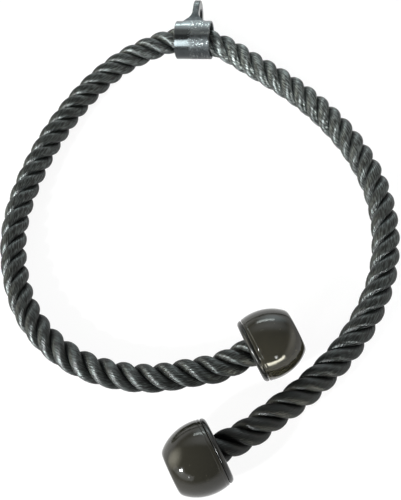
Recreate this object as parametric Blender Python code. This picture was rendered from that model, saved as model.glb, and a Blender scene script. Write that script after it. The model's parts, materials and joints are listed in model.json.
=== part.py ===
"""Triceps rope attachment for a cable machine, lying on the floor.

One thick three-strand rope runs from end cap to end cap through a cast eye sleeve. The sleeve
is free to turn on the rope, and its lug has the eye that clips to the machine. Each end cap is
a hollow moulded shell that a mouth ring closes. Inside it, a crimped ferrule on the rope's end
pulls against a thrust washer, so the cap can't come off but can turn.

Metres, +Z up. The floor is z = 0, and the origin is the middle of the space that the sleeve and
the two caps take up.
"""
import math

import bmesh
import bpy
import numpy as np
from mathutils import Vector

# Fits
GAP = 0.0003
RUNNING_CLEARANCE = 0.0004
MERGE_DISTANCE = 0.000001
CUT_OVERRUN = 0.004

# Rope
ROPE_DIAMETER = 0.025
ROPE_POINT_SPACING = 0.045
ROPE_STRAIGHT_AT_CAP = 0.025
ROPE_TAIL = 0.006
ROPE_SIDE_LEVEL = 4

# Eye sleeve: a round barrel with one flat lug, cast in one piece
SLEEVE_DIAMETER = 0.0386
SLEEVE_WALL = 0.0022
SLEEVE_LENGTH = 0.037
SLEEVE_EDGE_ROUND = 0.0008
LUG_REACH = 0.0346
LUG_HEAD_DIAMETER = 0.032
LUG_THICKNESS = 0.0065
LUG_FILLET = 0.010
EYE_DIAMETER = 0.014
EYE_CHAMFER = 0.0008

# End cap shell: cut from an ellipsoid, open at the mouth and flat at the end
CAP_DIAMETER = 0.0586
CAP_HALF_LENGTH = 0.0351
CAP_MOUTH_SETBACK = 0.0104
CAP_END_REACH = 0.0282
CAP_END_ROUND = 0.0025
CAP_WALL = 0.0035

# Mouth ring
RING_THICKNESS = 0.0045
RING_STEP = 0.0003
RING_EDGE_ROUND = 0.0035
RING_SPIGOT_DEPTH = 0.005
RING_HOLE_ROUND = 0.0012

# Rope end fittings inside the cap
WASHER_DIAMETER = 0.036
WASHER_THICKNESS = 0.002
FERRULE_LENGTH = 0.018
FERRULE_WALL = 0.0025
CRIMP_WIDTH = 0.003
CRIMP_DEPTH = 0.0006
CRIMP_COUNT = 3
WHIPPING_THICKNESS = 0.0008

# Where the pieces lie on the floor, and which way the caps point, from mouth to end
SLEEVE_PLACE = (-0.057, 0.200)
LEFT_CAP_PLACE = (0.0412, -0.1242)
LEFT_CAP_HEADING = math.radians(30)
RIGHT_CAP_PLACE = (-0.0032, -0.2199)
RIGHT_CAP_HEADING = math.radians(-147.5)
CAP_RISE = math.radians(4)

# The rope's route from the left cap to the right cap. It lies straight in the sleeve, from the
# point at ROPE_SLEEVE_ENTRY, counted from 1, to the next one.
ROPE_SLEEVE_ENTRY = 17
ROPE_ROUTE = (
    (-0.0126, -0.1496, 0.0245),
    (-0.0469, -0.1566, 0.0193),
    (-0.0833, -0.1571, 0.0146),
    (-0.1195, -0.1496, 0.0128),
    (-0.1537, -0.1318, 0.0128),
    (-0.1822, -0.1034, 0.0128),
    (-0.2016, -0.0655, 0.0128),
    (-0.2105, -0.0290, 0.0128),
    (-0.2107, 0.0085, 0.0128),
    (-0.2039, 0.0470, 0.0128),
    (-0.1904, 0.0882, 0.0128),
    (-0.1712, 0.1272, 0.0128),
    (-0.1457, 0.1626, 0.0128),
    (-0.1217, 0.1836, 0.0130),
    (-0.1032, 0.1938, 0.0140),
    (-0.0900, 0.1992, 0.0152),
    (-0.0785, 0.2020, 0.0159),
    (-0.0355, 0.1979, 0.0159),
    (-0.0260, 0.1936, 0.0152),
    (-0.0140, 0.1870, 0.0140),
    (0.0022, 0.1763, 0.0130),
    (0.0298, 0.1576, 0.0128),
    (0.0640, 0.1308, 0.0128),
    (0.0939, 0.1001, 0.0128),
    (0.1173, 0.0656, 0.0128),
    (0.1332, 0.0280, 0.0128),
    (0.1398, -0.0110, 0.0128),
    (0.1374, -0.0497, 0.0128),
    (0.1262, -0.0850, 0.0128),
    (0.1093, -0.1165, 0.0131),
    (0.0881, -0.1443, 0.0159),
    (0.0642, -0.1688, 0.0209),
    (0.0452, -0.1857, 0.0246),
)

# Facets
TURN_STEPS = 40
LUG_TURN_STEPS = 72
HEAD_ARC_STEPS = 20
FILLET_STEPS = 7
SIDE_STEPS = 10
ROUND_STEPS = 4


def clear_scene():
    """Remove whatever the file holds."""
    for thing in list(bpy.data.objects):
        bpy.data.objects.remove(thing)


def make_material(name, colour, roughness, metallic):
    """A plain Principled material."""
    material = bpy.data.materials.new(name)
    material.use_nodes = True
    shader = material.node_tree.nodes["Principled BSDF"]
    shader.inputs["Base Color"].default_value = (*colour, 1)
    shader.inputs["Roughness"].default_value = roughness
    shader.inputs["Metallic"].default_value = metallic
    return material


def make_place(name, location, rotation):
    """An empty that places the pieces parented to it."""
    place = bpy.data.objects.new(name, None)
    place.location = location
    place.rotation_euler = rotation
    bpy.context.scene.collection.objects.link(place)
    return place


def make_object(name, mesh_edit, material, place):
    """Turn an edited mesh into a smooth-shaded object under its place."""
    mesh = bpy.data.meshes.new(name)
    mesh_edit.to_mesh(mesh)
    mesh_edit.free()
    mesh.shade_smooth()
    mesh.set_sharp_from_angle(angle=math.radians(35))
    mesh.materials.append(material)
    thing = bpy.data.objects.new(name, mesh)
    thing.parent = place
    bpy.context.scene.collection.objects.link(thing)
    return thing


def make_cutter(thing):
    """Hide a helper shape that only cuts or joins another."""
    thing.hide_render = True
    thing.display_type = "WIRE"
    return thing


def turned(outline, ring, steps):
    """Spin an outline of (along X, out from X) points into a round solid.

    A ring's outline closes on itself, and any other starts and ends on the axis.
    """
    mesh_edit = bmesh.new()
    points = [mesh_edit.verts.new((along, 0, out)) for along, out in outline]
    pairs = list(zip(points, points[1:]))
    if ring:
        pairs.append((points[-1], points[0]))
    lines = [mesh_edit.edges.new(pair) for pair in pairs]
    bmesh.ops.spin(
        mesh_edit,
        geom=points + lines,
        cent=(0, 0, 0),
        axis=(1, 0, 0),
        angle=math.tau,
        steps=steps,
        use_merge=True,
    )
    bmesh.ops.remove_doubles(mesh_edit, verts=mesh_edit.verts, dist=MERGE_DISTANCE)
    bmesh.ops.recalc_face_normals(mesh_edit, faces=mesh_edit.faces)
    return mesh_edit


def rounded(start, corner, end, steps=ROUND_STEPS):
    """Points of a soft corner from start to end, bent towards the corner point."""
    points = []
    for step in range(steps + 1):
        t = step / steps
        along = (1 - t) ** 2 * start[0] + 2 * t * (1 - t) * corner[0] + t**2 * end[0]
        out = (1 - t) ** 2 * start[1] + 2 * t * (1 - t) * corner[1] + t**2 * end[1]
        points.append((along, out))
    return points


def ellipse_radius(along, half_length, radius):
    """Radius of an ellipsoid at a distance along its axis from the middle."""
    return radius * math.sqrt(1 - (along / half_length) ** 2)


def boolean(thing, tool, operation):
    """Join, cut or trim one shape with another."""
    modifier = thing.modifiers.new(operation.title(), "BOOLEAN")
    modifier.operation = operation
    modifier.solver = "EXACT"
    modifier.object = tool


# Sizes that follow from the ones above
ROPE_RADIUS = ROPE_DIAMETER / 2
HOLE_RADIUS = ROPE_RADIUS + RUNNING_CLEARANCE
SLEEVE_RADIUS = SLEEVE_DIAMETER / 2
SLEEVE_BORE_RADIUS = SLEEVE_RADIUS - SLEEVE_WALL
LUG_HEAD_RADIUS = LUG_HEAD_DIAMETER / 2
LUG_DROP = math.asin((SLEEVE_RADIUS - LUG_HEAD_RADIUS) / LUG_REACH)
CAP_RADIUS = CAP_DIAMETER / 2
CAP_MOUTH_RADIUS = ellipse_radius(CAP_MOUTH_SETBACK, CAP_HALF_LENGTH, CAP_RADIUS)
CAP_LAND_RADIUS = ellipse_radius(
    CAP_MOUTH_SETBACK, CAP_HALF_LENGTH - CAP_WALL, CAP_RADIUS - CAP_WALL
)
CAP_HEIGHT = math.hypot(
    CAP_HALF_LENGTH * math.sin(CAP_RISE), CAP_RADIUS * math.cos(CAP_RISE)
)
RING_FACE = -CAP_MOUTH_SETBACK - RING_THICKNESS
WASHER_START = -CAP_MOUTH_SETBACK + RING_SPIGOT_DEPTH + GAP
FERRULE_START = WASHER_START + WASHER_THICKNESS + GAP
WHIPPING_START = FERRULE_START + FERRULE_LENGTH + GAP
ROPE_END = WHIPPING_START + ROPE_TAIL


def make_eye_sleeve(material):
    """The barrel and its lug, one casting, with the eye cut through."""
    place = make_place(
        "sleeve_place", (*SLEEVE_PLACE, SLEEVE_RADIUS), (-LUG_DROP, 0, 0)
    )
    half = SLEEVE_LENGTH / 2
    edge = SLEEVE_EDGE_ROUND
    outline = [
        (-half, SLEEVE_BORE_RADIUS + edge),
        (-half, SLEEVE_RADIUS - edge),
        (-half + edge, SLEEVE_RADIUS),
        (half - edge, SLEEVE_RADIUS),
        (half, SLEEVE_RADIUS - edge),
        (half, SLEEVE_BORE_RADIUS + edge),
        (half - edge, SLEEVE_BORE_RADIUS),
        (-half + edge, SLEEVE_BORE_RADIUS),
    ]
    sleeve = make_object(
        "eye_sleeve", turned(outline, True, LUG_TURN_STEPS), material, place
    )
    lug = make_cutter(make_lug(material, place))
    boolean(sleeve, lug, "UNION")
    boolean(sleeve, make_cutter(make_eye_cutter(material, place)), "DIFFERENCE")
    return sleeve


def make_lug(material, place):
    """A disc round the barrel, flared at its foot, trimmed to the lug's side outline."""
    root = SLEEVE_RADIUS - SLEEVE_WALL / 2
    tip = LUG_REACH + LUG_HEAD_RADIUS + CUT_OVERRUN
    face = LUG_THICKNESS / 2
    foot = face + LUG_FILLET
    flare = []
    for step in range(FILLET_STEPS + 1):
        turn = math.radians(90) * step / FILLET_STEPS
        along = foot - LUG_FILLET * math.sin(turn)
        out = SLEEVE_RADIUS + LUG_FILLET * (1 - math.cos(turn))
        flare.append((along, out))
    right = [(foot, root)] + flare + [(face, tip)]
    left = [(-along, out) for along, out in reversed(right)]
    disc = make_object(
        "lug_disc", turned(right + left, True, LUG_TURN_STEPS), material, place
    )
    boolean(disc, make_cutter(make_lug_outline(material, place, foot)), "INTERSECT")
    return disc


def make_lug_outline(material, place, foot):
    """The lug seen along the barrel: a round head with straight level sides."""
    mesh_edit = bmesh.new()
    sides = [(0, -LUG_HEAD_RADIUS)]
    for step in range(HEAD_ARC_STEPS + 1):
        turn = math.radians(180 * step / HEAD_ARC_STEPS - 90)
        reach = LUG_REACH + LUG_HEAD_RADIUS * math.cos(turn)
        sides.append((reach, LUG_HEAD_RADIUS * math.sin(turn)))
    sides.append((0, LUG_HEAD_RADIUS))
    start = -foot - CUT_OVERRUN
    corners = [mesh_edit.verts.new((start, reach, up)) for reach, up in sides]
    base = mesh_edit.faces.new(corners)
    grown = bmesh.ops.extrude_face_region(mesh_edit, geom=[base])
    tops = [item for item in grown["geom"] if isinstance(item, bmesh.types.BMVert)]
    bmesh.ops.translate(mesh_edit, verts=tops, vec=(-2 * start, 0, 0))
    bmesh.ops.recalc_face_normals(mesh_edit, faces=mesh_edit.faces)
    return make_object("lug_outline", mesh_edit, material, place)


def make_eye_cutter(material, place):
    """The eye's bore with a chamfer at both faces of the lug."""
    radius = EYE_DIAMETER / 2
    face = LUG_THICKNESS / 2
    end = face + LUG_FILLET
    outline = [
        (-end, 0),
        (-end, radius + EYE_CHAMFER),
        (-face, radius + EYE_CHAMFER),
        (-face + EYE_CHAMFER, radius),
        (face - EYE_CHAMFER, radius),
        (face, radius + EYE_CHAMFER),
        (end, radius + EYE_CHAMFER),
        (end, 0),
    ]
    mesh_edit = turned(outline, False, TURN_STEPS)
    bmesh.ops.translate(mesh_edit, verts=mesh_edit.verts, vec=(0, LUG_REACH, 0))
    return make_object("eye_cutter", mesh_edit, material, place)


def make_cap_place(side, spot, heading):
    """A place at the middle of the cap's ellipsoid, with X from the mouth to the end."""
    return make_place(
        side + "_cap_place", (*spot, CAP_HEIGHT), (0, -CAP_RISE, heading)
    )


def make_cap_shell(side, material, place):
    """The hollow cap with its flat end and open mouth."""
    mouth = -CAP_MOUTH_SETBACK
    end = CAP_END_REACH
    bend = end - CAP_END_ROUND
    corner_radius = ellipse_radius(end, CAP_HALF_LENGTH, CAP_RADIUS)
    outline = [(end, 0)]
    outline += rounded(
        (end, corner_radius - CAP_END_ROUND),
        (end, corner_radius),
        (bend, ellipse_radius(bend, CAP_HALF_LENGTH, CAP_RADIUS)),
    )
    for step in range(1, SIDE_STEPS + 1):
        along = bend + (mouth - bend) * step / SIDE_STEPS
        outline.append((along, ellipse_radius(along, CAP_HALF_LENGTH, CAP_RADIUS)))
    land = mouth + RING_SPIGOT_DEPTH + GAP
    floor = end - CAP_WALL
    outline.append((mouth, CAP_LAND_RADIUS))
    outline.append((land, CAP_LAND_RADIUS))
    for step in range(SIDE_STEPS + 1):
        along = land + (floor - land) * step / SIDE_STEPS
        inner = ellipse_radius(along, CAP_HALF_LENGTH - CAP_WALL, CAP_RADIUS - CAP_WALL)
        outline.append((along, inner))
    outline.append((floor, 0))
    return make_object(
        side + "_cap_shell", turned(outline, False, TURN_STEPS), material, place
    )


def make_mouth_ring(side, material, place):
    """The ring that closes the mouth, with a rounded rim and a spigot in the shell."""
    rim = CAP_MOUTH_RADIUS - RING_STEP
    seat = -CAP_MOUTH_SETBACK - GAP
    spigot = CAP_LAND_RADIUS - GAP
    spigot_end = -CAP_MOUTH_SETBACK + RING_SPIGOT_DEPTH
    outline = [(spigot_end, HOLE_RADIUS), (spigot_end, spigot), (seat, spigot)]
    outline.append((seat, rim))
    outline += rounded(
        (RING_FACE + RING_EDGE_ROUND, rim),
        (RING_FACE, rim),
        (RING_FACE, rim - RING_EDGE_ROUND),
    )
    outline += rounded(
        (RING_FACE, HOLE_RADIUS + RING_HOLE_ROUND),
        (RING_FACE, HOLE_RADIUS),
        (RING_FACE + RING_HOLE_ROUND, HOLE_RADIUS),
    )
    return make_object(
        side + "_mouth_ring", turned(outline, True, TURN_STEPS), material, place
    )


def make_thrust_washer(side, material, place):
    """The washer between the ferrule and the mouth ring."""
    end = WASHER_START + WASHER_THICKNESS
    rim = WASHER_DIAMETER / 2
    outline = [
        (WASHER_START, HOLE_RADIUS),
        (WASHER_START, rim),
        (end, rim),
        (end, HOLE_RADIUS),
    ]
    return make_object(
        side + "_thrust_washer", turned(outline, True, TURN_STEPS), material, place
    )


def make_crimp_ferrule(side, material, place):
    """The tube crimped on the rope's end, with a groove at each crimp."""
    inside = ROPE_RADIUS + GAP
    outside = inside + FERRULE_WALL
    end = FERRULE_START + FERRULE_LENGTH
    outline = [(end, outside), (end, inside), (FERRULE_START, inside)]
    outline.append((FERRULE_START, outside))
    for number in range(CRIMP_COUNT):
        middle = FERRULE_START + FERRULE_LENGTH * (number + 1) / (CRIMP_COUNT + 1)
        outline.append((middle - CRIMP_WIDTH / 2, outside))
        outline.append((middle - CRIMP_WIDTH / 4, outside - CRIMP_DEPTH))
        outline.append((middle + CRIMP_WIDTH / 4, outside - CRIMP_DEPTH))
        outline.append((middle + CRIMP_WIDTH / 2, outside))
    return make_object(
        side + "_crimp_ferrule", turned(outline, True, TURN_STEPS), material, place
    )


def make_end_whipping(side, material, place):
    """The tape band that keeps the rope's cut end from fraying."""
    inside = ROPE_RADIUS + GAP
    outside = inside + WHIPPING_THICKNESS
    end = ROPE_END - GAP
    outline = [
        (WHIPPING_START, inside),
        (WHIPPING_START, outside),
        (end, outside),
        (end, inside),
    ]
    return make_object(
        side + "_end_whipping", turned(outline, True, TURN_STEPS), material, place
    )


def curve_slopes(route, gaps, start_way, end_way):
    """Direction of a smooth cubic curve at each of its points."""
    count = len(route)
    table = np.eye(count)
    slopes = np.zeros((count, 3))
    slopes[0] = start_way
    slopes[-1] = end_way
    for at in range(1, count - 1):
        before, after = gaps[at - 1], gaps[at]
        table[at, at - 1] = after
        table[at, at] = 2 * (before + after)
        table[at, at + 1] = before
        rise_before = (route[at] - route[at - 1]) / before
        rise_after = (route[at + 1] - route[at]) / after
        slopes[at] = 3 * (after * rise_before + before * rise_after)
    return np.linalg.solve(table, slopes)


def smooth_route(points, start_way, end_way, marks):
    """Points on one smooth curve through the given ones, evenly spaced between the marks."""
    route = np.array(points, dtype=float)
    gaps = np.linalg.norm(np.diff(route, axis=0), axis=1)
    stops = np.concatenate(([0], np.cumsum(gaps)))
    slopes = curve_slopes(route, gaps, start_way, end_way)
    smooth = [route[marks[0]]]
    for first, last in zip(marks, marks[1:]):
        run = stops[last] - stops[first]
        steps = max(1, round(run / ROPE_POINT_SPACING))
        for number in range(1, steps + 1):
            where = stops[first] + run * number / steps
            at = min(int(np.searchsorted(stops, where, side="right")), last) - 1
            t = (where - stops[at]) / gaps[at]
            smooth.append(
                (2 * t**3 - 3 * t**2 + 1) * route[at]
                + (t**3 - 2 * t**2 + t) * gaps[at] * slopes[at]
                + (3 * t**2 - 2 * t**3) * route[at + 1]
                + (t**3 - t**2) * gaps[at] * slopes[at + 1]
            )
    return smooth


def cap_axis(heading):
    """Direction of a cap's axis, from its mouth to its end."""
    flat = math.cos(CAP_RISE)
    return Vector(
        (math.cos(heading) * flat, math.sin(heading) * flat, math.sin(CAP_RISE))
    )


def make_rope(material):
    """One plain tube from the end inside the left cap to the end inside the right cap."""
    left_middle = Vector((*LEFT_CAP_PLACE, CAP_HEIGHT))
    right_middle = Vector((*RIGHT_CAP_PLACE, CAP_HEIGHT))
    left_way = cap_axis(LEFT_CAP_HEADING)
    right_way = cap_axis(RIGHT_CAP_HEADING)
    exit_along = RING_FACE - ROPE_STRAIGHT_AT_CAP
    left_exit = left_middle + left_way * exit_along
    right_exit = right_middle + right_way * exit_along
    route = [left_exit, *ROPE_ROUTE, right_exit]
    marks = (0, ROPE_SLEEVE_ENTRY, ROPE_SLEEVE_ENTRY + 1, len(route) - 1)
    free = smooth_route(route, -left_way, right_way, marks)
    points = [left_middle + left_way * ROPE_END, *free]
    points.append(right_middle + right_way * ROPE_END)
    curve = bpy.data.curves.new("rope", "CURVE")
    curve.dimensions = "3D"
    curve.bevel_depth = ROPE_RADIUS
    curve.bevel_resolution = ROPE_SIDE_LEVEL
    curve.use_fill_caps = True
    line = curve.splines.new("POLY")
    line.points.add(len(points[1:]))
    for point, place in zip(line.points, points):
        point.co = (*place, 1)
    curve.materials.append(material)
    rope = bpy.data.objects.new("rope", curve)
    bpy.context.scene.collection.objects.link(rope)
    length = sum(math.dist(one, two) for one, two in zip(points, points[1:]))
    print("rope points", len(points), "length", round(length, 4))
    return rope


def make_cap(side, spot, heading, materials):
    """One end cap with everything inside it."""
    place = make_cap_place(side, spot, heading)
    make_cap_shell(side, materials["cap"], place)
    make_mouth_ring(side, materials["ring"], place)
    make_thrust_washer(side, materials["steel"], place)
    make_crimp_ferrule(side, materials["steel"], place)
    make_end_whipping(side, materials["tape"], place)


def main():
    """Build the whole part."""
    clear_scene()
    materials = {
        "rope": make_material("rope_fibre", (0.045, 0.05, 0.05), 0.6, 0),
        "chrome": make_material("black_chrome", (0.28, 0.29, 0.31), 0.15, 1),
        "cap": make_material("cap_plastic", (0.03, 0.03, 0.026), 0.15, 0),
        "ring": make_material("ring_plastic", (0.022, 0.022, 0.02), 0.25, 0),
        "steel": make_material("zinc_steel", (0.5, 0.5, 0.5), 0.35, 1),
        "tape": make_material("black_tape", (0.03, 0.03, 0.03), 0.5, 0),
    }
    make_eye_sleeve(materials["chrome"])
    make_rope(materials["rope"])
    make_cap("left", LEFT_CAP_PLACE, LEFT_CAP_HEADING, materials)
    make_cap("right", RIGHT_CAP_PLACE, RIGHT_CAP_HEADING, materials)


main()
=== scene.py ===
# %% [markdown]
# # A rope attachment for a cable machine
#
# The object is one thick rope, doubled through a small cast sleeve with an eye, and a round
# plastic cap on each end that stops the hands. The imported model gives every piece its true
# place and size, and the joints that it moves on. This script gives the pieces their looks:
# a rope with real strands and yarns, a plated casting, and glossy moulded caps.

# %% Load the frame
import json
from math import acos, asin, atan2, cos, degrees, hypot, pi, radians, sin, sqrt, tan, tau

import bmesh
import bpy
import numpy as np
from mathutils import Matrix, Quaternion, Vector


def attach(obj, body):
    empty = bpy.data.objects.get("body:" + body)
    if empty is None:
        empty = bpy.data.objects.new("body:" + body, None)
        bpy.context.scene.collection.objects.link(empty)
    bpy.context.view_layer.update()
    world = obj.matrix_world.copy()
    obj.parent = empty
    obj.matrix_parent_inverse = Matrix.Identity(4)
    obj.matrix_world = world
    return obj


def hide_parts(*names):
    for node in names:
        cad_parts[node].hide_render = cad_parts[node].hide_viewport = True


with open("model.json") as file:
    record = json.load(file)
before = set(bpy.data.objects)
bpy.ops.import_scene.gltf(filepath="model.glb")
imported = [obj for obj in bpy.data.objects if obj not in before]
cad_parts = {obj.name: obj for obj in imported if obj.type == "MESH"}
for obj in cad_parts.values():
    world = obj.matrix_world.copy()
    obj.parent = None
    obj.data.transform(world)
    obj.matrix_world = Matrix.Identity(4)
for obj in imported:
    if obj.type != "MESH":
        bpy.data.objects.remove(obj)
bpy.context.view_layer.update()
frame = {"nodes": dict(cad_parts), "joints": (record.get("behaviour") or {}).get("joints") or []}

scene = bpy.context.scene
joints = {joint["name"]: joint for joint in frame["joints"]}
print("nodes", sorted(frame["nodes"]))

# %% Helpers for new objects


def add_object(name, data):
    """A new object in the scene."""
    thing = bpy.data.objects.new(name, data)
    scene.collection.objects.link(thing)
    return thing


def finished_mesh(name, mesh_edit):
    """A new mesh from an edit that is done."""
    mesh = bpy.data.meshes.new(name)
    mesh_edit.to_mesh(mesh)
    mesh_edit.free()
    return mesh


# %% [markdown]
# ## The camera
#
# The photograph was taken from close by, above the end caps, looking down towards the sleeve,
# with the camera turned a little. A camera could be moved by hand until the picture fits, but
# it is easier to keep three things apart: where the lens is, the spot that the middle of the
# picture shows, and how far the camera is rolled.

# %% Place the camera
LENS_PLACE = Vector((0.0757, -0.2759, 0.6052))
AIM_SPOT = Vector((-0.0266, -0.0343, 0.0125))
CAMERA_ROLL = radians(-18.4)
LENS_LENGTH_MM = 50.4
SENSOR_LONG_SIDE_MM = 36
NEAREST_SEEN = 0.01

camera_data = bpy.data.cameras.new("camera")
camera_data.lens = LENS_LENGTH_MM
camera_data.sensor_width = SENSOR_LONG_SIDE_MM
camera_data.clip_start = NEAREST_SEEN
camera = add_object("camera", camera_data)
view_line = AIM_SPOT - LENS_PLACE
camera.location = LENS_PLACE
camera.rotation_mode = "QUATERNION"
camera.rotation_quaternion = (
    view_line.to_track_quat("-Z", "Y") @ Quaternion((0, 0, 1), CAMERA_ROLL)
)
scene.camera = camera
scene.view_settings.view_transform = "Standard"
print("the camera is", round(view_line.length, 3), "m from the spot that it looks at")

# %% [markdown]
# ## The rope's route
#
# The rope lies on the floor in one loose loop, from the inside of the left cap, through the
# sleeve, to the inside of the right cap. It is thick and stiff, so every bend is wide, and it
# climbs a little where the sleeve and the caps hold it off the floor. A few points along the
# way say where it lies, and one smooth cubic curve through them gives all the points between.

# %% The points that the rope passes
ROPE_DIAMETER = 0.025
ROPE_ROUTE = (
    (-0.0126, -0.1496, 0.0245), (-0.0469, -0.1566, 0.0193), (-0.0833, -0.1571, 0.0146),
    (-0.1195, -0.1496, 0.0128), (-0.1537, -0.1318, 0.0128), (-0.1822, -0.1034, 0.0128),
    (-0.2016, -0.0655, 0.0128), (-0.2105, -0.0290, 0.0128), (-0.2107, 0.0085, 0.0128),
    (-0.2039, 0.0470, 0.0128), (-0.1904, 0.0882, 0.0128), (-0.1712, 0.1272, 0.0128),
    (-0.1457, 0.1626, 0.0128), (-0.1217, 0.1836, 0.0130), (-0.1032, 0.1938, 0.0140),
    (-0.0900, 0.1992, 0.0152), (-0.0785, 0.2020, 0.0159), (-0.0355, 0.1979, 0.0159),
    (-0.0260, 0.1936, 0.0152), (-0.0140, 0.1870, 0.0140), (0.0022, 0.1763, 0.0130),
    (0.0298, 0.1576, 0.0128), (0.0640, 0.1308, 0.0128), (0.0939, 0.1001, 0.0128),
    (0.1173, 0.0656, 0.0128), (0.1332, 0.0280, 0.0128), (0.1398, -0.0110, 0.0128),
    (0.1374, -0.0497, 0.0128), (0.1262, -0.0850, 0.0128), (0.1093, -0.1165, 0.0131),
    (0.0881, -0.1443, 0.0159), (0.0642, -0.1688, 0.0209), (0.0452, -0.1857, 0.0246),
)
CAP_MOUTH_SETBACK = 0.0104
RING_THICKNESS = 0.0045
ROPE_STRAIGHT_AT_CAP = 0.025
ROPE_END = 0.0215

left_cap_middle = Vector(joints["left_cap_spin"]["pos_m"])
left_cap_way = Vector(joints["left_cap_spin"]["axis"])
right_cap_middle = Vector(joints["right_cap_spin"]["pos_m"])
right_cap_way = Vector(joints["right_cap_spin"]["axis"])
ring_face = -CAP_MOUTH_SETBACK - RING_THICKNESS
exit_along = ring_face - ROPE_STRAIGHT_AT_CAP
left_exit = left_cap_middle + left_cap_way * exit_along
right_exit = right_cap_middle + right_cap_way * exit_along
rope_start = left_cap_middle + left_cap_way * ROPE_END
rope_finish = right_cap_middle + right_cap_way * ROPE_END
route = np.array([left_exit, *ROPE_ROUTE, right_exit], dtype=float)
print("route points", len(route), "from", left_exit[:], "to", right_exit[:])

# %% [markdown]
# A cubic curve through points needs a direction at each of them. Asking that the bend doesn't
# jump at any point gives one equation for each, and together they are a small table that is
# solved at once. The two end directions are known: the rope leaves each cap along its axis.

# %% A smooth curve through the points
CURVE_STEP = 0.0005


def curve_slopes(points, gaps, start_way, end_way):
    """Direction of the smooth curve at each point."""
    count = len(points)
    table = np.eye(count)
    slopes = np.zeros((count, 3))
    slopes[0] = start_way
    slopes[-1] = end_way
    for at in range(1, count - 1):
        before, after = gaps[at - 1], gaps[at]
        table[at, at - 1] = after
        table[at, at] = 2 * (before + after)
        table[at, at + 1] = before
        rise_before = (points[at] - points[at - 1]) / before
        rise_after = (points[at + 1] - points[at]) / after
        slopes[at] = 3 * (after * rise_before + before * rise_after)
    return np.linalg.solve(table, slopes)


def smooth_curve(points, start_way, end_way):
    """Closely spaced points on the smooth curve."""
    gaps = np.linalg.norm(np.diff(points, axis=0), axis=1)
    slopes = curve_slopes(points, gaps, start_way, end_way)
    pieces = []
    for at, gap in enumerate(gaps):
        t = np.arange(0, 1, CURVE_STEP / gap)[:, None]
        pieces.append(
            (2 * t**3 - 3 * t**2 + 1) * points[at]
            + (t**3 - 2 * t**2 + t) * gap * slopes[at]
            + (3 * t**2 - 2 * t**3) * points[at + 1]
            + (t**3 - t**2) * gap * slopes[at + 1]
        )
    return np.concatenate(pieces)


free_curve = smooth_curve(route, -left_cap_way, right_cap_way)
whole_curve = np.vstack((rope_start, free_curve, right_exit, rope_finish))
stops = np.concatenate(([0], np.cumsum(np.linalg.norm(np.diff(whole_curve, axis=0), axis=1))))
rope_length = float(stops[-1])
print("rope length", round(rope_length, 4), "m")

# %% [markdown]
# ## Strands and yarns
#
# The rope is laid: three strands are twisted round each other to the right, and inside each
# strand the yarns are twisted the other way, so that on the outside of the rope they run
# straight along it. A strand could be a round pipe on a helix, but three of those would cut
# into each other. In a tight rope the strands press flat where they meet, so each section here
# is an ellipse that stops at the two planes that it shares with its neighbours.
#
# Each strand starts as a flat grid. Its short side goes once round the strand and its long side
# runs along the rope. The grid's columns follow the yarns, so that two columns are enough to
# give each yarn its back and the groove beside it.

# %% Sizes of the lay
LAY_LENGTH = 0.054
STRAND_COUNT = 3
YARN_COUNT = 20
COLUMNS_PER_YARN = 2
RING_COUNT = 810
YARN_RELIEF = 0.00035
STRAND_GAP = 0.00004

rope_radius = ROPE_DIAMETER / 2
half_wedge = pi / STRAND_COUNT
strand_centre = rope_radius / (1 + sin(half_wedge))
strand_radius = rope_radius - strand_centre
lay_slope = tau * strand_centre / LAY_LENGTH
strand_width = strand_radius * hypot(1, lay_slope)
yarn_turn = -tau / LAY_LENGTH * rope_radius / strand_width
print("strand radius", round(strand_radius, 5), "half width", round(strand_width, 5))
print("yarns turn once in", round(tau / abs(yarn_turn), 4), "m of rope")

# %% A steady frame along the rope
ring_stops = np.linspace(0, rope_length, RING_COUNT + 1)
ring_centres = np.stack([np.interp(ring_stops, stops, line) for line in whole_curve.T], axis=1)
ring_ways = np.gradient(ring_centres, axis=0)
ring_ways /= np.linalg.norm(ring_ways, axis=1)[:, None]
ring_sides = np.zeros_like(ring_ways)
side = Vector((0, 0, 1))
for number, way in enumerate(ring_ways):
    ahead = Vector(way)
    side = (side - ahead * side.dot(ahead)).normalized()
    ring_sides[number] = side
ring_others = np.cross(ring_ways, ring_sides)
print("rings", len(ring_centres), "spacing", round(rope_length / RING_COUNT, 5))

# %% Shape the strands
rope_edit = bmesh.new()
rope_edit.loops.layers.uv.new("fibres")
for number in range(STRAND_COUNT):
    bmesh.ops.create_grid(
        rope_edit, x_segments=YARN_COUNT * COLUMNS_PER_YARN, y_segments=RING_COUNT,
        size=0.5, matrix=Matrix.Translation((0.5, 0.5, number)), calc_uvs=True,
    )
rope_mesh = finished_mesh("laid_rope", rope_edit)
flat = np.empty(len(rope_mesh.vertices) * 3)
rope_mesh.vertices.foreach_get("co", flat)
around_share, along_share, strand_number = flat.reshape(-1, 3).T
print("grid points", len(around_share), "strands", int(strand_number.max()) + 1)

# %% [markdown]
# No real rope is perfectly even. Handling has pushed its lay together in one place and opened
# it in another. A few marks along the rope say how far its lay runs ahead of an even one, and a
# slow wave changes the strands' fullness.

# %% Bend the grids into strands
LAY_MARKS = (
    (0.09, 36), (0.18, 25), (0.27, -20), (0.34, -34), (0.41, -47), (0.48, -26), (0.55, -7),
    (0.63, 7), (0.72, 12), (0.78, 18), (0.84, 45), (0.90, 54), (1.00, 61), (1.10, 47),
    (1.17, 45),
)
FULLNESS_DRIFT_SHARE = 0.012
FULLNESS_RUN = 0.083
FULLNESS_LAG = 2


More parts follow.
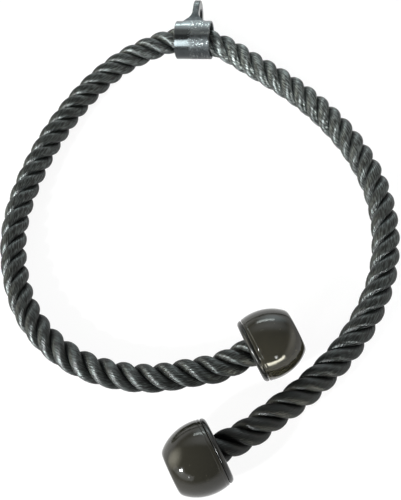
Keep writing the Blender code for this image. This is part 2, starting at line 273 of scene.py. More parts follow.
def strand_section(turn, relief, fullness):
    """Outward and sideways place of points of a strand, with its middle on the outward axis."""
    out = (strand_radius * fullness - YARN_RELIEF * (1 - relief)) * np.cos(turn)
    sideways = (strand_width * fullness - YARN_RELIEF * (1 - relief)) * np.sin(turn)
    lean = np.abs(sideways) / tan(half_wedge) - out
    reach = strand_centre - STRAND_GAP
    shrink = np.where(lean > reach, reach / np.maximum(lean, reach), 1)
    return strand_centre + out * shrink, sideways * shrink


along = along_share * rope_length
column = np.rint(around_share * YARN_COUNT * COLUMNS_PER_YARN).astype(int)
ring = np.rint(along_share * RING_COUNT).astype(int)
fullness = 1 - FULLNESS_DRIFT_SHARE * (
    1 + np.sin(tau * along / FULLNESS_RUN + FULLNESS_LAG * strand_number)
)
out, sideways = strand_section(
    tau * around_share + yarn_turn * along, np.mod(column, COLUMNS_PER_YARN), fullness
)
mark_places, mark_turns = np.array(LAY_MARKS).T
lay_turn = tau * (along / LAY_LENGTH + strand_number / STRAND_COUNT) + np.radians(
    np.interp(along, mark_places, mark_turns)
)
across = out * np.cos(lay_turn) - sideways * np.sin(lay_turn)
upward = out * np.sin(lay_turn) + sideways * np.cos(lay_turn)
places = (
    ring_centres[ring]
    + across[:, None] * ring_sides[ring]
    + upward[:, None] * ring_others[ring]
)
rope_mesh.vertices.foreach_set("co", places.ravel())
print("furthest from the middle line", round(float(np.hypot(across, upward).max()), 5))

# %% Close the strands and size their fibre map
MERGE_DISTANCE = 0.000001
MAP_SHIFT_PER_STRAND = 10 * YARN_COUNT

fibre_uv = np.empty(len(rope_mesh.loops) * 2)
rope_mesh.uv_layers["fibres"].uv.foreach_get("vector", fibre_uv)
fibre_uv = fibre_uv.reshape(-1, 2)
yarn_width = tau * sqrt(strand_radius * strand_width) / YARN_COUNT
fibre_uv *= (YARN_COUNT, rope_length / yarn_width)
loop_vertices = np.empty(len(rope_mesh.loops), dtype=int)
rope_mesh.loops.foreach_get("vertex_index", loop_vertices)
fibre_uv[:, 0] += strand_number[loop_vertices] * MAP_SHIFT_PER_STRAND
rope_mesh.uv_layers["fibres"].uv.foreach_set("vector", fibre_uv.ravel())

rope_edit = bmesh.new()
rope_edit.from_mesh(rope_mesh)
bmesh.ops.remove_doubles(rope_edit, verts=rope_edit.verts, dist=MERGE_DISTANCE)
open_edges = [edge for edge in rope_edit.edges if edge.is_boundary]
bmesh.ops.holes_fill(rope_edit, edges=open_edges, sides=0)
bmesh.ops.recalc_face_normals(rope_edit, faces=rope_edit.faces)
rope_edit.to_mesh(rope_mesh)
rope_edit.free()
rope_mesh.shade_smooth()
rope = add_object("laid_rope", rope_mesh)
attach(rope, "rope_line")
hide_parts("rope")
rope_mesh.calc_loop_triangles()
print("rope triangles", len(rope_mesh.loop_triangles))

# %% [markdown]
# ## Helpers for materials
#
# Every finish is a Principled shader with a few textures in front of it. Nodes could be added
# and linked one by one, but a few helpers that read like a sum are shorter. They put each new
# node into the tree of the socket that feeds it.

# %% Add and link nodes


def plug_in(value, socket):
    """A socket gets a link from another one, or a plain value."""
    if isinstance(value, bpy.types.NodeSocket):
        socket.id_data.links.new(value, socket)
    else:
        socket.default_value = value


def add_node(tree, kind, settings=None, **inputs):
    """A new node with its settings and the values of its inputs."""
    node = tree.nodes.new(kind)
    for name, value in (settings or {}).items():
        setattr(node, name, value)
    for name, value in inputs.items():
        plug_in(value, node.inputs[name.replace("_", " ")])
    return node


def tree_of(values):
    """The node tree that the sockets among some values belong to."""
    return next(value.id_data for value in values if isinstance(value, bpy.types.NodeSocket))


print("nodes can be added and linked")

# %% Sums, ranges and colours


def math_node(operation, *values):
    """The result of one sum."""
    node = add_node(tree_of(values), "ShaderNodeMath", {"operation": operation})
    for value, socket in zip(values, node.inputs):
        plug_in(value, socket)
    return node.outputs["Value"]


def product(first, second):
    """One value times another."""
    return math_node("MULTIPLY", first, second)


def map_range(value, low, high, to_low, to_high):
    """A value stretched from one range to another, and held inside it."""
    return add_node(
        value.id_data, "ShaderNodeMapRange",
        Value=value, From_Min=low, From_Max=high, To_Min=to_low, To_Max=to_high,
    ).outputs["Result"]


def mix_colours(share, first, second):
    """A colour between two others."""
    node = add_node(share.id_data, "ShaderNodeMix", {"data_type": "RGBA"})
    plug_in(share, node.inputs["Factor"])
    for name, colour in (("A", first), ("B", second)):
        socket = [s for s in node.inputs if s.name == name and s.type == "RGBA"][0]
        plug_in((*colour, 1) if isinstance(colour, tuple) else colour, socket)
    return [s for s in node.outputs if s.type == "RGBA"][0]


def vector_node(operation, output, *values, **inputs):
    """The result of one sum with places, directions or colours."""
    tree = tree_of((*values, *inputs.values()))
    node = add_node(tree, "ShaderNodeVectorMath", {"operation": operation}, **inputs)
    for value, socket in zip(values, node.inputs):
        plug_in(value, socket)
    return node.outputs[output]


def scaled(colour, scale):
    """A colour made brighter or darker."""
    return vector_node("SCALE", "Vector", colour, Scale=scale)


print("sums, ranges and colours ready")

# %% Noise and relief


def noise(place, scale, detail, settings=None, **inputs):
    """Soft random patches between 0 and 1."""
    return add_node(
        place.id_data, "ShaderNodeTexNoise", settings,
        Vector=place, Scale=scale, Detail=detail, **inputs,
    ).outputs["Fac"]


def object_place(tree):
    """The place of a point of the object, in metres."""
    return add_node(tree, "ShaderNodeTexCoord").outputs["Object"]


def add_relief(shader, height, strength, depth):
    """Fine relief: the light falls as if the surface followed a height."""
    bump = add_node(
        height.id_data, "ShaderNodeBump", Height=height, Strength=strength, Distance=depth
    )
    plug_in(bump.outputs["Normal"], shader["Normal"])


print("noise and relief ready")

# %% New materials and node groups


def new_group(name, inputs, outputs):
    """An empty shader node group and its two end nodes."""
    group = bpy.data.node_groups.new(name, "ShaderNodeTree")
    for in_out, labels in (("INPUT", inputs), ("OUTPUT", outputs)):
        for label in labels:
            kind = "NodeSocketVector" if label == "Vector" else "NodeSocketFloat"
            group.interface.new_socket(label, in_out=in_out, socket_type=kind)
    start = group.nodes.new("NodeGroupInput")
    end = group.nodes.new("NodeGroupOutput")
    return group, start.outputs, end.inputs


def place_group(group, **inputs):
    """A node group in the tree of its inputs."""
    tree = tree_of(inputs.values())
    return add_node(tree, "ShaderNodeGroup", {"node_tree": group}, **inputs).outputs


def new_material(name, metallic=0, ior=1.5):
    """A material, its node tree and the inputs of its Principled shader."""
    material = bpy.data.materials.new(name)
    material.use_nodes = True
    tree = material.node_tree
    shader = tree.nodes["Principled BSDF"]
    shader.inputs["Metallic"].default_value = metallic
    shader.inputs["IOR"].default_value = ior
    return material, tree, shader.inputs


print("materials and groups ready")

# %% [markdown]
# Two effects come back in more than one finish, so each of them is a node group with named
# inputs and outputs. The first is grain, the fine unevenness of a surface. The second is
# handling: the faint smears and specks of dust that hands leave on anything smooth.

# %% The grain group: fine unevenness at a chosen size
PATCH_SCALE_SHARE = 0.07
PATCH_DETAIL = 2.0

grain_group, given, made = new_group(
    "surface_grain", ("Vector", "Scale", "Detail"), ("Height", "Patches")
)
plug_in(noise(given["Vector"], given["Scale"], given["Detail"]), made["Height"])
patch_scale = product(given["Scale"], PATCH_SCALE_SHARE)
plug_in(noise(given["Vector"], patch_scale, PATCH_DETAIL), made["Patches"])
print("group", grain_group.name, "has", len(grain_group.nodes), "nodes")

# %% The handling group: smears and specks
SMEAR_DETAIL = 3.0
SMEAR_TWIST = 0.6
SMEAR_EDGES = (0.5, 0.75)
SPECK_EDGES = (0.05, 0.09)
SPECKLED_EDGES = (0.45, 0.6)

handling_group, given, made = new_group(
    "handling_marks", ("Vector", "Smear Scale", "Speck Scale"), ("Smears", "Specks")
)
smear = noise(given["Vector"], given["Smear Scale"], SMEAR_DETAIL, Distortion=SMEAR_TWIST)
speck = add_node(
    handling_group, "ShaderNodeTexVoronoi", Vector=given["Vector"], Scale=given["Speck Scale"]
)
specks = map_range(speck.outputs["Distance"], *SPECK_EDGES, 1, 0)
speckled = map_range(smear, *SPECKLED_EDGES, 0, 1)
plug_in(map_range(smear, *SMEAR_EDGES, 0, 1), made["Smears"])
plug_in(product(specks, speckled), made["Specks"])
print("group", handling_group.name, "has", len(handling_group.nodes), "nodes")

# %% [markdown]
# ## The rope's fibre
#
# The rope is spun from dark synthetic filament. Each yarn is a bundle of fine shiny threads, and
# only those that face a window light up, so from a step away the rope is charcoal with pale,
# broken glints. Threads as thin as these can't be modelled one by one, so they are a texture.
# The fibre map counts yarns in its first direction and runs along them in its second, in the
# same unit, so noise squeezed across and stretched along gives threads.
#
# A bundle of threads is smooth along its length and rough across it. The shader says so with a
# sheen that follows the fibres and draws every light out into a band beside the groove. The
# shiniest filaments are given as thin metal, since they mirror more than plain plastic would.
# A ramp along its length paints light and shade into the colour: paler on the upper right arm
# and darkest near the right cap.

# %% Threads and yarns as textures
THREAD_PATTERN = (1.6, 0.2)
YARN_PATTERN = (1.3, 0.09)
FILAMENT_PATTERN = (2.1, 0.26)


def fibre_noise(place, pattern, detail):
    """Noise on the fibre map, with its scale across the fibres and along them."""
    place = add_node(place.id_data, "ShaderNodeMapping", Vector=place, Scale=(*pattern, 1))
    return noise(place.outputs["Vector"], 1.0, detail, {"noise_dimensions": "2D"})


rope_material, tree, shader = new_material("rope_fibre", ior=1.45)
fibre_place = add_node(tree, "ShaderNodeUVMap", {"uv_map": "fibres"}).outputs["UV"]
threads = fibre_noise(fibre_place, THREAD_PATTERN, detail=2.0)
yarn_tone = fibre_noise(fibre_place, YARN_PATTERN, detail=1.0)
filaments = fibre_noise(fibre_place, FILAMENT_PATTERN, detail=1.0)
split = add_node(tree, "ShaderNodeSeparateXYZ", Vector=fibre_place)
yarn_back = math_node("SINE", product(split.outputs["X"], pi))
yarn_back = math_node("ABSOLUTE", yarn_back)
print("a yarn is", round(yarn_width, 5), "m wide")

# %% Painted light and shade along the rope's length
PAINTED_LIGHT_ALONG = (
    (0.08, 0.30), (0.20, 0.26), (0.30, 0.42), (0.42, 0.34), (0.50, 0.55), (0.56, 1.0),
    (0.66, 0.85), (0.74, 0.45), (0.84, 0.24), (0.93, 0.02),
)

rope_share = math_node("DIVIDE", split.outputs["Y"], rope_length / yarn_width)
# Painted light and shade: the rope is paler where this ramp is high and darker where it is low.
painted_light = add_node(tree, "ShaderNodeValToRGB", Fac=rope_share)
ramp = painted_light.color_ramp.elements
while len(ramp) < len(PAINTED_LIGHT_ALONG):
    ramp.new(0.5)
for stop, (share, level) in zip(ramp, PAINTED_LIGHT_ALONG):
    stop.position = share
    stop.color = (level, level, level, 1)
painted_light = painted_light.outputs["Color"]
print("palest at", max(PAINTED_LIGHT_ALONG, key=lambda stop: stop[1])[0], "of the rope's length")

# %% The rope's colour and sheen
ROPE_DARK = (0.0045, 0.0052, 0.0049)
ROPE_LIGHT = (0.0125, 0.0142, 0.0135)
YARN_BACK_WIDTH = 0.8
GROOVE_SHADE = 0.2
TONE_EDGES = (0.06, 0.36)
TONE_TOP = 2.3
FILAMENT_COLOUR = (0.203, 0.226, 0.222)
FILAMENT_PAINTED_LIGHT = (0.13, 1.03)
FILAMENT_EDGES = (0.5, 0.57)
FILAMENT_METAL = 0.9
FIBRE_SHEEN = 0.88
THREAD_EDGES = (0.35, 0.65)
FIBRE_ROUGHNESS = (0.43, 0.33)
YARN_HEIGHT_SHARE = 0.45

# Painted shade: the colour darkens in the grooves between the yarns.
groove = map_range(yarn_back, 0, YARN_BACK_WIDTH, GROOVE_SHADE, 1)
tone = map_range(product(product(threads, yarn_tone), groove), *TONE_EDGES, 0, 1)
# Painted light and shade: the ramp scales the fibre's colour and the shiny filaments' colour.
fibre = scaled(mix_colours(tone, ROPE_DARK, ROPE_LIGHT), product(painted_light, TONE_TOP))
filament = scaled(FILAMENT_COLOUR, map_range(painted_light, 0, 1, *FILAMENT_PAINTED_LIGHT))
shiny = map_range(filaments, *FILAMENT_EDGES, 0, 1)
plug_in(mix_colours(shiny, fibre, filament), shader["Base Color"])
plug_in(product(shiny, FILAMENT_METAL), shader["Metallic"])
plug_in(map_range(threads, *THREAD_EDGES, *FIBRE_ROUGHNESS), shader["Roughness"])
plug_in(FIBRE_SHEEN, shader["Anisotropic"])
across_fibres = add_node(
    tree, "ShaderNodeTangent", {"direction_type": "UV_MAP", "uv_map": "fibres"}
)
plug_in(across_fibres.outputs["Tangent"], shader["Tangent"])
height = math_node("ADD", product(yarn_back, YARN_HEIGHT_SHARE), threads)
add_relief(shader, height, strength=0.9, depth=0.00042)
rope_mesh.materials.append(rope_material)
print("rope material has", len(tree.nodes), "nodes")

# %% [markdown]
# ## Turned shapes
#
# The sleeve's barrel, the caps and their rings are all round, so each of them begins as an
# outline of a few points, spun round an axis. The outline is drawn with X along the axis and
# the distance from it as the second number. A corner that a hand would feel as rounded gets a
# short quarter arc instead of one point.

# %% Outlines of turned shapes


def spread_out(first, last, count):
    """Evenly spaced values that come after the first one, up to the last."""
    return [first + (last - first) * step / count for step in range(1, count + 1)]


def arc(middle, radius, start_degrees, end_degrees, steps):
    """Points of an arc, as (along, out) pairs."""
    turns = [start_degrees, *spread_out(start_degrees, end_degrees, steps)]
    return [
        (middle[0] + radius * cos(turn), middle[1] + radius * sin(turn))
        for turn in map(radians, turns)
    ]


def mirrored(points):
    """The same points on the other side of X = 0, in the opposite order."""
    return [(-along, out) for along, out in reversed(points)]


print("a quarter arc in 2 steps", [round(out, 3) for along, out in arc((0, 0), 1, 0, 90, 2)])

# %% Spin an outline into a piece
SHARP_ANGLE = radians(40)


def spin_line(places, closed, steps):
    """A line through some places, spun once round X, where closed brings it back to its start."""
    mesh_edit = bmesh.new()
    points = [mesh_edit.verts.new(place) for place in places]
    pairs = list(zip(points, points[1:]))
    if closed:
        pairs.append((points[-1], points[0]))
    lines = [mesh_edit.edges.new(pair) for pair in pairs]
    bmesh.ops.spin(
        mesh_edit, geom=points + lines, cent=(0, 0, 0), axis=(1, 0, 0), angle=tau,
        steps=steps, use_merge=True,
    )
    return mesh_edit


def close_skin(mesh_edit, distance):
    """Points that lie together become one, and the faces all look outwards."""
    bmesh.ops.remove_doubles(mesh_edit, verts=mesh_edit.verts, dist=distance)
    bmesh.ops.recalc_face_normals(mesh_edit, faces=mesh_edit.faces)


def spun(outline, closed, steps):
    """An outline spun once round X into a closed skin."""
    mesh_edit = spin_line([(along, 0, out) for along, out in outline], closed, steps)
    close_skin(mesh_edit, MERGE_DISTANCE)
    return mesh_edit


def make_piece(name, mesh_edit, place, material, body, node):
    """A finished piece: its place goes into its mesh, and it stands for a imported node."""
    mesh_edit.transform(place)
    mesh = finished_mesh(name, mesh_edit)
    mesh.shade_smooth()
    mesh.set_sharp_from_angle(angle=SHARP_ANGLE)
    mesh.materials.append(material)
    piece = add_object(name, mesh)
    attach(piece, body)
    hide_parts(node)
    print(name, "faces", len(mesh.polygons))


print("edges sharper than", round(degrees(SHARP_ANGLE)), "degrees stay sharp")

# %% [markdown]
# ## The eye sleeve
#
# The sleeve is one casting: a thin barrel round the rope, and a flat lug that grows out of it
# through a soft fillet. It could be a barrel and a plate joined by a Boolean, but the fillet
# would need a second cut. Here a spun ring of numbered stations is made first, where a point's
# distance from the axis is its station's number. Each station then moves to its real place,
# which depends on where it is round the barrel: below, it lies on the barrel, and above, it
# climbs the fillet and the side of the lug.

# %% Sizes of the sleeve
SLEEVE_DIAMETER = 0.0386
SLEEVE_WALL = 0.0022
SLEEVE_LENGTH = 0.037
SLEEVE_EDGE_ROUND = 0.0009
LUG_REACH = 0.0346
LUG_HEAD_DIAMETER = 0.032
LUG_THICKNESS = 0.0065
LUG_FILLET = 0.010
LUG_EDGE_ROUND = 0.0012
EYE_DIAMETER = 0.014
EYE_LIP_ROUND = 0.0009

sleeve_radius = SLEEVE_DIAMETER / 2
bore_radius = sleeve_radius - SLEEVE_WALL
head_radius = LUG_HEAD_DIAMETER / 2
lug_half = LUG_THICKNESS / 2
barrel_half = SLEEVE_LENGTH / 2
lug_drop = asin((sleeve_radius - head_radius) / LUG_REACH)
print("the lug drops", round(degrees(lug_drop), 2), "degrees, so its head is on the floor")

# %% How far the lug reaches at each angle
LUG_FOOT_BLEND = 0.0035


def lug_outline_radius(turn):
    """Distance from the barrel's axis to the lug's outline, at an angle from the lug's middle.

    The outline is the head's circle, then a straight level side that sinks softly into the
    barrel.
    """
    turn = abs(turn)
    if turn <= atan2(head_radius, LUG_REACH):
        inside = head_radius**2 - (LUG_REACH * sin(turn)) ** 2
        return LUG_REACH * cos(turn) + sqrt(inside)
    if turn >= pi / 2:
        return sleeve_radius
    rise = head_radius / sin(turn) - sleeve_radius
    lowest = head_radius - sleeve_radius
    tail = (lowest + hypot(lowest, LUG_FOOT_BLEND)) / 2
    blended = (rise + hypot(rise, LUG_FOOT_BLEND)) / 2
    return sleeve_radius + max(0, blended - tail * min(1, sleeve_radius / (rise + sleeve_radius)))


def lug_flank(distance, reach):
    """A point on the way from the barrel's end, over the fillet and up the lug's side.

    The distance is the share of the whole way, and reach is how far out the way ends.
    """
    flat_run = barrel_half - SLEEVE_EDGE_ROUND - lug_half - LUG_FILLET
    rise = reach - sleeve_radius
    arc_run = LUG_FILLET * acos(max(0, 1 - rise / LUG_FILLET))
    wall_run = max(0, rise - LUG_FILLET)
    at = distance * (flat_run + arc_run + wall_run)
    if at <= flat_run:
        return barrel_half - SLEEVE_EDGE_ROUND - at, sleeve_radius
    if at <= flat_run + arc_run:
        turn = (at - flat_run) / LUG_FILLET
        return (
            lug_half + LUG_FILLET * (1 - sin(turn)),
            sleeve_radius + LUG_FILLET * (1 - cos(turn)),
        )
    return lug_half, sleeve_radius + LUG_FILLET + (at - flat_run - arc_run)


print("lug reach at its middle", round(lug_outline_radius(0), 4), "m")

# %% Stations of the sleeve's outline
FLANK_STEPS = 18
CORNER_STEPS = 4
TOP_STEPS = 6
END_STEPS = 3
BORE_STEPS = 6
SLEEVE_SPIN_STEPS = 180


def half_outline(turn):
    """The sleeve's outer outline at an angle, from the barrel's end to the middle of its top."""
    outline_radius = lug_outline_radius(turn)
    corner = min(LUG_EDGE_ROUND, (outline_radius - sleeve_radius) / 2)
    flank_reach = outline_radius - corner
    points = arc(
        (barrel_half - SLEEVE_EDGE_ROUND, sleeve_radius - SLEEVE_EDGE_ROUND),
        SLEEVE_EDGE_ROUND, 0, 90, END_STEPS,
    )
    points += [lug_flank(share, flank_reach) for share in spread_out(0, 1, FLANK_STEPS)]
    along, out = points[-1]
    points += arc((along - corner, out), corner, 0, 90, CORNER_STEPS)[1:]
    top = spread_out(along - corner, 0, TOP_STEPS)[:-1]
    return points + [(along, outline_radius) for along in top]


def bore_outline():
    """The bore's outline from the barrel's right end to its left end."""
    middle_out = bore_radius + SLEEVE_EDGE_ROUND
    right = arc(
        (barrel_half - SLEEVE_EDGE_ROUND, middle_out), SLEEVE_EDGE_ROUND, 0, -90, END_STEPS
    )
    inner = spread_out(right[-1][0], -right[-1][0], BORE_STEPS)[:-1]
    return right + [(along, bore_radius) for along in inner] + mirrored(right)


def sleeve_outline(turn):
    """The whole closed outline of the sleeve at an angle from the lug's middle."""
    right = half_outline(turn)
    top = [(0, lug_outline_radius(turn))]
    return right + top + mirrored(right) + bore_outline()[::-1]


station_count = len(sleeve_outline(0))
print("stations round the outline", station_count)

# %% Spin the stations and move each to its place
SLEEVE_MERGE_DISTANCE = 0.00001

stations = [(0, station + 1, 0) for station in range(station_count)]
sleeve_edit = spin_line(stations, True, SLEEVE_SPIN_STEPS)
outlines = {}
for point in sleeve_edit.verts:
    station = round(hypot(point.co.y, point.co.z)) - 1
    turn = atan2(point.co.z, point.co.y)
    key = round(abs(turn), 5)
    if key not in outlines:
        outlines[key] = sleeve_outline(key)
    along, out = outlines[key][station]
    point.co = (along, out * cos(turn), out * sin(turn))
close_skin(sleeve_edit, SLEEVE_MERGE_DISTANCE)
print("sleeve faces", len(sleeve_edit.faces))

# %% [markdown]
# The eye is the one place where a Boolean is the plain choice: a spun plug, as wide as the eye
# and with a trumpet-shaped lip at each face of the lug, cuts the hole and its rounded rim in
# one go. The result is read back as a mesh, so no cutter stays in the scene.

# %% Cut the eye
PLUG_SPIN_STEPS = 64

eye_radius = EYE_DIAMETER / 2
lip_start = lug_half - EYE_LIP_ROUND
lip_reach = eye_radius + EYE_LIP_ROUND
plug_half = [(0, eye_radius)]
plug_half += arc((lip_start, lip_reach), EYE_LIP_ROUND, -90, 0, CORNER_STEPS)
plug_half += [(lug_half + LUG_FILLET, lip_reach), (lug_half + LUG_FILLET, 0)]
plug_edit = spun(mirrored(plug_half) + plug_half[1:], False, PLUG_SPIN_STEPS)
bmesh.ops.translate(plug_edit, verts=plug_edit.verts, vec=(0, LUG_REACH, 0))


def cut(mesh_edit, tool_edit):
    """A mesh with another one cut out of it."""
    whole = add_object("whole", finished_mesh("whole", mesh_edit))
    tool = add_object("tool", finished_mesh("tool", tool_edit))
    modifier = whole.modifiers.new("cut", "BOOLEAN")
    modifier.operation = "DIFFERENCE"
    modifier.solver = "EXACT"
    modifier.object = tool
    result = bmesh.new()
    result.from_object(whole, bpy.context.evaluated_depsgraph_get())
    for thing in (whole, tool):
        bpy.data.objects.remove(thing)
    return result


sleeve_edit = cut(sleeve_edit, plug_edit)
print("with the eye cut, faces", len(sleeve_edit.faces))

# %% [markdown]
# The casting is plated dark and bright, like a smoked mirror, and the plating follows every
# small unevenness of the casting below. In the photograph its left half is smoother than its
# right half, where the reflections break up into flecks. So beyond a ragged line half way the
# grain gets stronger, with bright flecks and a few fine dents in it, and the colour gets duller,
# partly as painted shade where the highlight ends. Painted shade darkens the fillet, the lug and
# the low front of the barrel.

# %% Where the plating is smooth and where it is pitted
BORDER_SPAN = (0.003, 0.006)
BORDER_RAGGEDNESS = 0.012
LEFT_HALF_SHARE = 0.05

sleeve_middle = Vector(joints["sleeve_swivel"]["pos_m"])


def from_here(start, span, scale=1):
    """The two ends of a span, measured from a start."""
    return start + scale * span[0], start + scale * span[1]


plating, tree, shader = new_material("dark_plating", metallic=1)
place = object_place(tree)
grain = place_group(grain_group, Vector=place, Scale=900.0, Detail=3.0)
marks = place_group(handling_group, Vector=place, Smear_Scale=90.0, Speck_Scale=420.0)
pits = noise(place, scale=650.0, detail=1.0)
split = add_node(tree, "ShaderNodeSeparateXYZ", Vector=place)
ragged = math_node("MULTIPLY_ADD", grain["Height"], BORDER_RAGGEDNESS, split.outputs["X"])
border = from_here(sleeve_middle.x, BORDER_SPAN)
rightness = map_range(ragged, *border, LEFT_HALF_SHARE, 1)
print("the pitted half begins at", round(border[0], 4), "m")

# %% Where painted shade darkens the plating
FILLET_SHADE_SPAN = (0.0003, 0.0015)
FILLET_SHADE = 0.94
LUG_SHADE_EASED_SPAN = (0.004, 0.012)
LUG_SHADE_EASED = 0.25
FRONT_SPAN = (-0.42, -0.32)
FRONT_SHADE = 0.68

from_axis = add_node(
    tree, "ShaderNodeMapping", {"vector_type": "POINT"}, Vector=place,
    Location=-Vector((0, sleeve_middle.y, sleeve_middle.z)), Scale=(0, 1, 1),
).outputs["Vector"]
away = vector_node("LENGTH", "Value", from_axis)
forward = add_node(tree, "ShaderNodeSeparateXYZ", Vector=from_axis).outputs["Y"]
# Painted shade: darker in the fillet and over the lug, a little less towards the lug's end, and
# on the barrel's front.
fillet_shade = map_range(away, *from_here(sleeve_radius, FILLET_SHADE_SPAN), 0, FILLET_SHADE)
lug_shade_eased = map_range(away, *from_here(sleeve_radius, LUG_SHADE_EASED_SPAN), 0, LUG_SHADE_EASED)
front_shade = map_range(forward, *from_here(0, FRONT_SPAN, sleeve_radius), FRONT_SHADE, 0)
painted_shade = math_node("MAXIMUM", math_node("SUBTRACT", fillet_shade, lug_shade_eased), front_shade)
# The painted shade on the front ends at this distance from the axis.
print("the front's grime ends", round(FRONT_SPAN[1] * sleeve_radius, 4), "m from the axis")

# %% The plating's colour
PLATING_DARK = (0.128, 0.142, 0.148)
PLATING_LIGHT = (0.225, 0.247, 0.252)
PLATING_DULL_AND_SHADE = (0.06, 0.065, 0.07)
PLATING_SHADE = (0.011, 0.0125, 0.0145)
PLATING_FLECK = (0.62, 0.66, 0.65)
DULL_AND_SHADE_SHARE = 0.4
FLECK_EDGES = (0.6, 0.66)
FLECK_SHARE = 0.85

metal = mix_colours(grain["Patches"], PLATING_DARK, PLATING_LIGHT)
# The right half's duller colour is partly painted shade, where the highlight ends.
metal = mix_colours(product(rightness, DULL_AND_SHADE_SHARE), metal, PLATING_DULL_AND_SHADE)
flecked = product(map_range(pits, *FLECK_EDGES, 0, FLECK_SHARE), rightness)
metal = mix_colours(flecked, metal, PLATING_FLECK)
# Painted shade: the plating's colour goes towards near black where the shade is painted.
plug_in(mix_colours(painted_shade, metal, PLATING_SHADE), shader["Base Color"])
print("colours from", PLATING_DARK, "to", PLATING_LIGHT)

# %% The plating's gloss and relief
BRIGHT_ROUGHNESS = (0.18, 0.22)
DULL_ROUGHNESS = 0.26
LEAST_ROUGHNESS = 0.1
BARREL_SPAN = (0.0005, 0.003)
LUG_DULLNESS = 0.1
PIT_EDGES = (0.56, 0.62)
PIT_DULLNESS = 0.1
DENT_DEPTH_SHARE = -2.0

on_barrel = map_range(away, *from_here(sleeve_radius, BARREL_SPAN), 1, LUG_DULLNESS)
between_pits = map_range(pits, *PIT_EDGES, 1, PIT_DULLNESS)
dulled = product(product(rightness, on_barrel), between_pits)
bright = map_range(marks["Smears"], 0, 1, *BRIGHT_ROUGHNESS)
roughness = math_node("ADD", bright, product(dulled, DULL_ROUGHNESS))
roughness = product(roughness, math_node("SUBTRACT", 1.0, marks["Specks"]))
plug_in(math_node("MAXIMUM", roughness, LEAST_ROUGHNESS), shader["Roughness"])
dents = product(marks["Specks"], DENT_DEPTH_SHARE)
height = product(math_node("ADD", grain["Height"], dents), rightness)
add_relief(shader, height, strength=0.6, depth=0.0002)
print("plating has", len(tree.nodes), "nodes")

# %% Put the sleeve in its place
sleeve_place = Matrix.Translation(sleeve_middle) @ Matrix.Rotation(-lug_drop, 4, "X")
make_piece(
    "eye_sleeve_casting", sleeve_edit, sleeve_place, plating, "sleeve", "eye_sleeve",
)

# %% [markdown]
# ## The end caps
#
# Each cap is a hollow moulding: most of an ellipsoid, cut flat at its far end, with a rounded
# ring in its mouth. A thin line shows where the two meet, and a second one a few millimetres
# further on, where the shell has a shallow groove. The gloss would show every flat facet, so
# the outline is spun in many steps.

# %% Sizes of the caps
CAP_DIAMETER = 0.0586
CAP_HALF_LENGTH = 0.0351
CAP_END_REACH = 0.0282
CAP_END_ROUND = 0.0020
CAP_WALL = 0.0035
LIP_ROUND = 0.0009
GROOVE_SETBACK = 0.0026
GROOVE_WIDTH = 0.0005
GROOVE_DEPTH = 0.00018
RING_STEP = 0.0003
RING_EDGE_ROUND = 0.0035
RING_SPIGOT_DEPTH = 0.005
RING_HOLE_ROUND = 0.0012
GAP = 0.0003
RUNNING_CLEARANCE = 0.0004
CAP_SPIN_STEPS = 128
SHELL_STEPS = 30
FLAT_END_STEPS = 4
END_CORNER_STEPS = 6
GROOVE_STEPS = 12
LIP_STEPS = 4
RING_LIP_STEPS = 3
RING_RIM_STEPS = 10
RING_HOLE_STEPS = 5

cap_radius = CAP_DIAMETER / 2


def shell_radius(along, inset=0):
    """Radius of the cap's ellipsoid at a distance along its axis."""
    share = along / (CAP_HALF_LENGTH - inset)
    return (cap_radius - inset) * sqrt(1 - share**2)


mouth_radius = shell_radius(CAP_MOUTH_SETBACK)
land_radius = shell_radius(CAP_MOUTH_SETBACK, CAP_WALL)
print("mouth radius", round(mouth_radius, 5), "land radius", round(land_radius, 5))

# %% Outline of the shell


def groove_dip(along):
    """How deep the shell's shallow groove is at a distance along the axis."""
    away = abs(along + CAP_MOUTH_SETBACK - GROOVE_SETBACK) / GROOVE_WIDTH
    return GROOVE_DEPTH * max(0, 1 - away) ** 2 * (1 + 2 * min(1, away))


def shell_outline():
    """From the middle of the flat end, over the outside to the mouth, and back inside."""
    mouth = -CAP_MOUTH_SETBACK
    bend = CAP_END_REACH - CAP_END_ROUND
    corner = shell_radius(CAP_END_REACH)
    flat = corner - CAP_END_ROUND
    points = [(CAP_END_REACH, out) for out in (0, *spread_out(0, flat, FLAT_END_STEPS))]
    for t in spread_out(0, 1, END_CORNER_STEPS):
        along = CAP_END_REACH - (CAP_END_REACH - bend) * t**2
        out = (1 - t) ** 2 * flat + 2 * t * (1 - t) * corner
        points.append((along, out + t**2 * shell_radius(bend)))
    groove_start = mouth + GROOVE_SETBACK + GROOVE_WIDTH
    groove_end = mouth + GROOVE_SETBACK - GROOVE_WIDTH
    lip_start = mouth + LIP_ROUND
    side = spread_out(bend, groove_start, SHELL_STEPS)
    side += spread_out(groove_start, groove_end, GROOVE_STEPS)
    side += spread_out(groove_end, lip_start, LIP_STEPS)
    points += [(along, shell_radius(along) - groove_dip(along)) for along in side]
    lip_middle = (lip_start, shell_radius(lip_start) - LIP_ROUND)
    points += arc(lip_middle, LIP_ROUND, 90, 180, LIP_STEPS)[1:]
    land = mouth + RING_SPIGOT_DEPTH + GAP
    floor = CAP_END_REACH - CAP_WALL
    points += [(mouth, land_radius), (land, land_radius)]
    for along in (land, *spread_out(land, floor, SHELL_STEPS)):
        points.append((along, shell_radius(along, CAP_WALL)))
    return points + [(floor, 0)]


print("shell outline points", len(shell_outline()))

# %% Outline of the mouth ring


